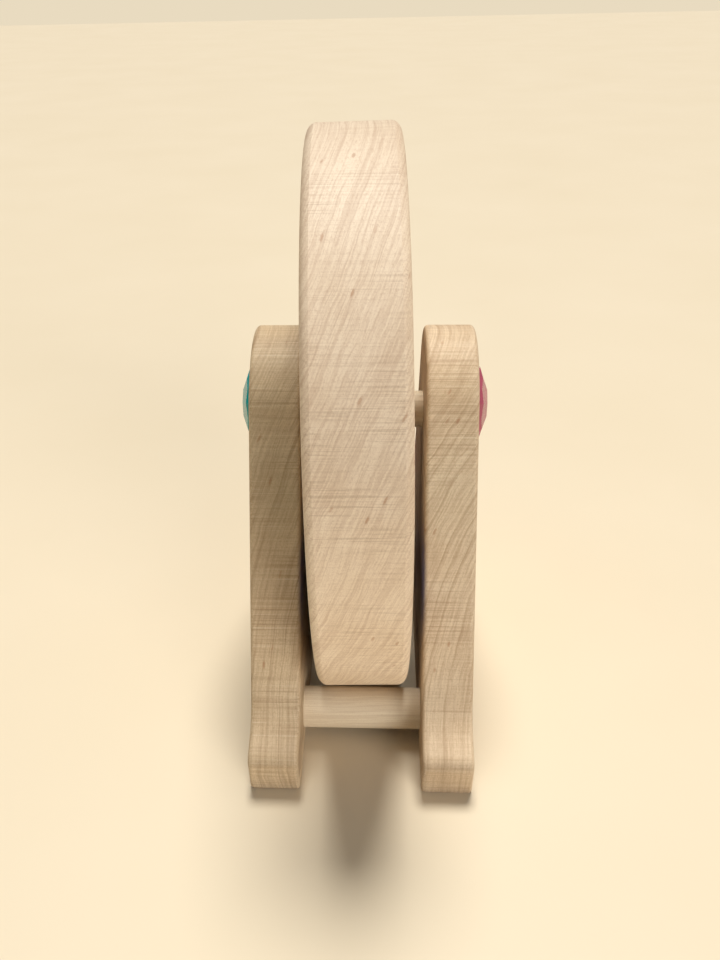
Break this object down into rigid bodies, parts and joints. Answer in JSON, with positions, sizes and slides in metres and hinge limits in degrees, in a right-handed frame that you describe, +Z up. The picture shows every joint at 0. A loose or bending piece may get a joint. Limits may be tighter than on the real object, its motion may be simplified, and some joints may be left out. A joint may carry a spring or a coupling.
{
  "type": "kaleidoscope",
  "caption": "Wooden kaleidoscope wheel: a thick disc set with coloured faceted gems turns loosely on a dowel between upright supports joined by round crossbars.",
  "frame": {"origin": "on the table, midway between the supports and under the axle", "axes": "+X along the axle to the right-hand support, +Y to the back, +Z up"},
  "size_m": [0.0638, 0.1438, 0.1491],
  "materials": {
    "wheel_wood": "bare sanded maple, faint growth rings",
    "support_wood": "bare planed maple",
    "bar_wood": "bare dowel",
    "gem_red": "clear red acrylic, cut facets",
    "gem_orange": "clear orange acrylic, cut facets",
    "gem_yellow": "clear yellow acrylic, cut facets",
    "gem_green": "clear green acrylic, cut facets",
    "gem_teal": "clear teal acrylic, cut facets",
    "gem_blue": "clear blue acrylic, cut facets",
    "gem_violet": "clear violet acrylic, cut facets",
    "gem_pink": "clear pink acrylic, cut facets"
  },
  "bodies": {
    "stand": {"left_support": "support_wood", "right_support": "support_wood", "front_crossbar": "bar_wood", "rear_crossbar": "bar_wood", "axle": "bar_wood", "left_cap_gem": "gem_teal", "right_cap_gem": "gem_pink"},
    "wheel": {"wheel": "wheel_wood", "left_red_gem": "gem_red", "right_red_gem": "gem_red", "left_orange_gem": "gem_orange", "right_orange_gem": "gem_orange", "left_yellow_gem": "gem_yellow", "right_yellow_gem": "gem_yellow", "left_green_gem": "gem_green", "right_green_gem": "gem_green", "left_teal_gem": "gem_teal", "right_teal_gem": "gem_teal", "left_blue_gem": "gem_blue", "right_blue_gem": "gem_blue", "left_violet_gem": "gem_violet", "right_violet_gem": "gem_violet", "left_pink_gem": "gem_pink", "right_pink_gem": "gem_pink"}
  },
  "joints": [
    {"name": "wheel_spin", "type": "hinge", "parent": "stand", "child": "wheel", "pos_m": [-0.0015, 0, 0.0773], "axis": [0.9996, 0.0227, 0.014], "continuous": true}
  ]
}
